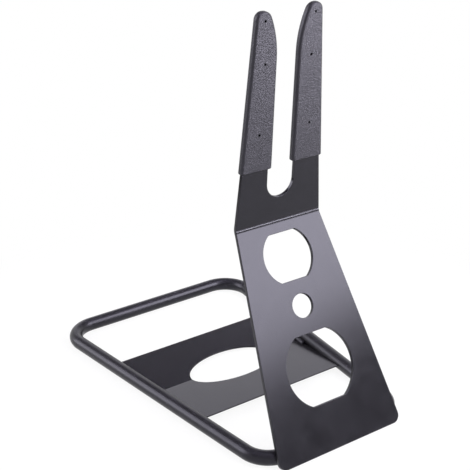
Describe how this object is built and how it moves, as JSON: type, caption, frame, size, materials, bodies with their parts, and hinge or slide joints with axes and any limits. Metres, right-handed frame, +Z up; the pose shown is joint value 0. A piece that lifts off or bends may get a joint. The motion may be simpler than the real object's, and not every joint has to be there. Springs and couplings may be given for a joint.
{
  "type": "floor bicycle stand",
  "caption": "Floor stand for one bicycle: a tube frame with a shallow wheel tray and a bent steel upright whose rubber-sleeved prongs flank the rear hub.",
  "frame": {"origin": "on the floor, under the middle of the overall bounding box", "axes": "+Z up, -Y towards the upright plate's front face, +X to the right seen from that side"},
  "size_m": [0.2638, 0.3872, 0.4412],
  "materials": {
    "black_powder_coat": "satin black powder coat on mild steel",
    "weld_bead": "weld metal under the same powder coat",
    "sleeve_rubber": "matte black rubber with a fine grain"
  },
  "bodies": {
    "root": {"base_tube": "black_powder_coat", "loop_butt_weld": "weld_bead", "wheel_tray": "black_powder_coat", "upright_plate": "black_powder_coat", "grip_sleeve_left": "sleeve_rubber", "grip_sleeve_right": "sleeve_rubber", "tray_fold_weld_left": "weld_bead", "tray_fold_weld_right": "weld_bead", "tray_front_weld_left": "weld_bead", "tray_front_weld_right": "weld_bead", "tray_rear_weld_left": "weld_bead", "tray_rear_weld_right": "weld_bead", "upright_upper_weld_left": "weld_bead", "upright_upper_weld_right": "weld_bead", "upright_lower_weld_left": "weld_bead", "upright_lower_weld_right": "weld_bead"}
  },
  "joints": []
}
